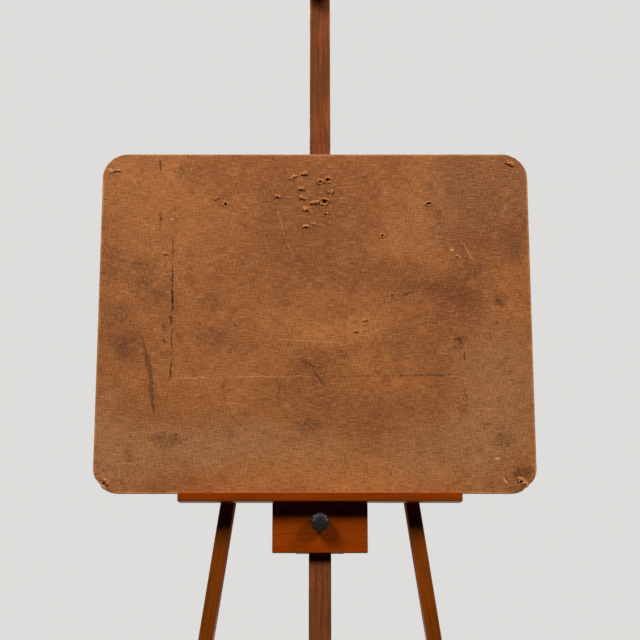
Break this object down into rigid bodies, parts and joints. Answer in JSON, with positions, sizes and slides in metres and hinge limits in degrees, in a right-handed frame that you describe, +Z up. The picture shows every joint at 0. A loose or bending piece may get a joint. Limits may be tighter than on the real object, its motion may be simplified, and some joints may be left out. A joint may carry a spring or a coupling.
{
  "type": "artist easel",
  "caption": "Wooden studio easel with a leaning front frame, sliding mast, clamped tray and canvas holder, hinged rear leg, and a hardboard drawing board.",
  "frame": {"origin": "on the floor, under the middle of the standing easel", "axes": "+Z up, the board faces -Y, +X to the right of someone facing the board"},
  "size_m": [0.762, 0.6967, 1.758],
  "materials": {
    "stained_beech": "satin",
    "mast_wood": "satin",
    "hardboard": "matt, worn",
    "knob_plastic": "satin",
    "zinc_steel": "zinc plated",
    "brass": "plain",
    "rubber": "matt"
  },
  "bodies": {
    "front_frame": {"front_leg_left": "stained_beech", "front_leg_right": "stained_beech", "front_foot_pad_left": "rubber", "front_foot_pad_right": "rubber", "upper_rail": "stained_beech", "lower_rail": "stained_beech", "rail_bolt_upper_left": "zinc_steel", "rail_bolt_upper_right": "zinc_steel", "rail_bolt_lower_left": "zinc_steel", "rail_bolt_lower_right": "zinc_steel", "mast_saddle": "zinc_steel", "saddle_screw_lower": "zinc_steel", "saddle_screw_upper": "zinc_steel", "mast_bridge": "stained_beech", "bridge_screw_left": "zinc_steel", "bridge_screw_right": "zinc_steel", "mast_knob_insert": "brass", "hinge_cheek_left": "stained_beech", "hinge_cheek_right": "stained_beech", "cheek_screw_left": "zinc_steel", "cheek_screw_right": "zinc_steel", "hinge_washer_left": "zinc_steel", "hinge_washer_right": "zinc_steel", "hinge_bolt": "zinc_steel", "hinge_nut": "zinc_steel", "stay_catch": "zinc_steel", "catch_screw_inner": "zinc_steel", "catch_screw_outer": "zinc_steel", "catch_pin": "zinc_steel"},
    "mast": {"mast": "mast_wood"},
    "mast_clamp": {"mast_knob": "knob_plastic", "mast_knob_stud": "zinc_steel"},
    "tray": {"tray_ledge": "stained_beech", "tray_front_plate": "stained_beech", "tray_cheek_left": "stained_beech", "tray_cheek_right": "stained_beech", "tray_back_plate": "stained_beech", "tray_screw_lower_left": "zinc_steel", "tray_screw_lower_right": "zinc_steel", "tray_screw_upper_left": "zinc_steel", "tray_screw_upper_right": "zinc_steel", "ledge_screw_left": "zinc_steel", "ledge_screw_right": "zinc_steel", "tray_knob_insert": "brass"},
    "tray_clamp": {"tray_knob": "knob_plastic", "tray_knob_stud": "zinc_steel"},
    "board": {"drawing_board": "hardboard"},
    "top_holder": {"holder_jaw": "stained_beech", "holder_back_plate": "stained_beech", "holder_screw_left": "zinc_steel", "holder_screw_right": "zinc_steel", "holder_knob_insert": "brass"},
    "holder_clamp": {"holder_knob": "knob_plastic", "holder_knob_stud": "zinc_steel"},
    "rear_leg": {"rear_leg": "stained_beech", "rear_foot_pad": "rubber", "stay_pivot_spacer": "zinc_steel", "stay_pivot_bolt": "zinc_steel", "stay_pivot_nut": "zinc_steel"},
    "stay": {"stay": "zinc_steel"}
  },
  "joints": [
    {"name": "mast_slide", "type": "slide", "parent": "front_frame", "child": "mast", "axis": [0, 0.2147, 0.9767], "range_m": [0, 0.21]},
    {"name": "tray_slide", "type": "slide", "parent": "mast", "child": "tray", "axis": [0, 0.2147, 0.9767], "range_m": [-0.2, 0.1]},
    {"name": "holder_slide", "type": "slide", "parent": "mast", "child": "top_holder", "axis": [0, 0.2147, 0.9767], "range_m": [-0.312, 0.02]},
    {"name": "board_lift_off", "type": "slide", "parent": "tray", "child": "board", "axis": [0, -0.9767, 0.2147], "range_m": [0, 0.08]},
    {"name": "mast_knob_turn", "type": "hinge", "parent": "front_frame", "child": "mast_clamp", "pos_m": [0, -0.30663, 0.29198], "axis": [0, -0.9767, 0.2147], "range_deg": [0, 540]},
    {"name": "tray_knob_turn", "type": "hinge", "parent": "tray", "child": "tray_clamp", "pos_m": [0, -0.20325, 0.73614], "axis": [0, -0.9767, 0.2147], "range_deg": [0, 540]},
    {"name": "holder_knob_turn", "type": "hinge", "parent": "top_holder", "child": "holder_clamp", "pos_m": [0, -0.00548, 1.71757], "axis": [0, -0.9767, 0.2147], "range_deg": [0, 540]},
    {"name": "rear_leg_fold", "type": "hinge", "parent": "front_frame", "child": "rear_leg", "pos_m": [0, -0.01151, 1.21515], "axis": [1, 0, 0], "range_deg": [-28, 0]},
    {"name": "stay_lift", "type": "hinge", "parent": "rear_leg", "child": "stay", "pos_m": [0, 0.22554, 0.38846], "axis": [1, 0, 0], "range_deg": [-79, 0]}
  ]
}
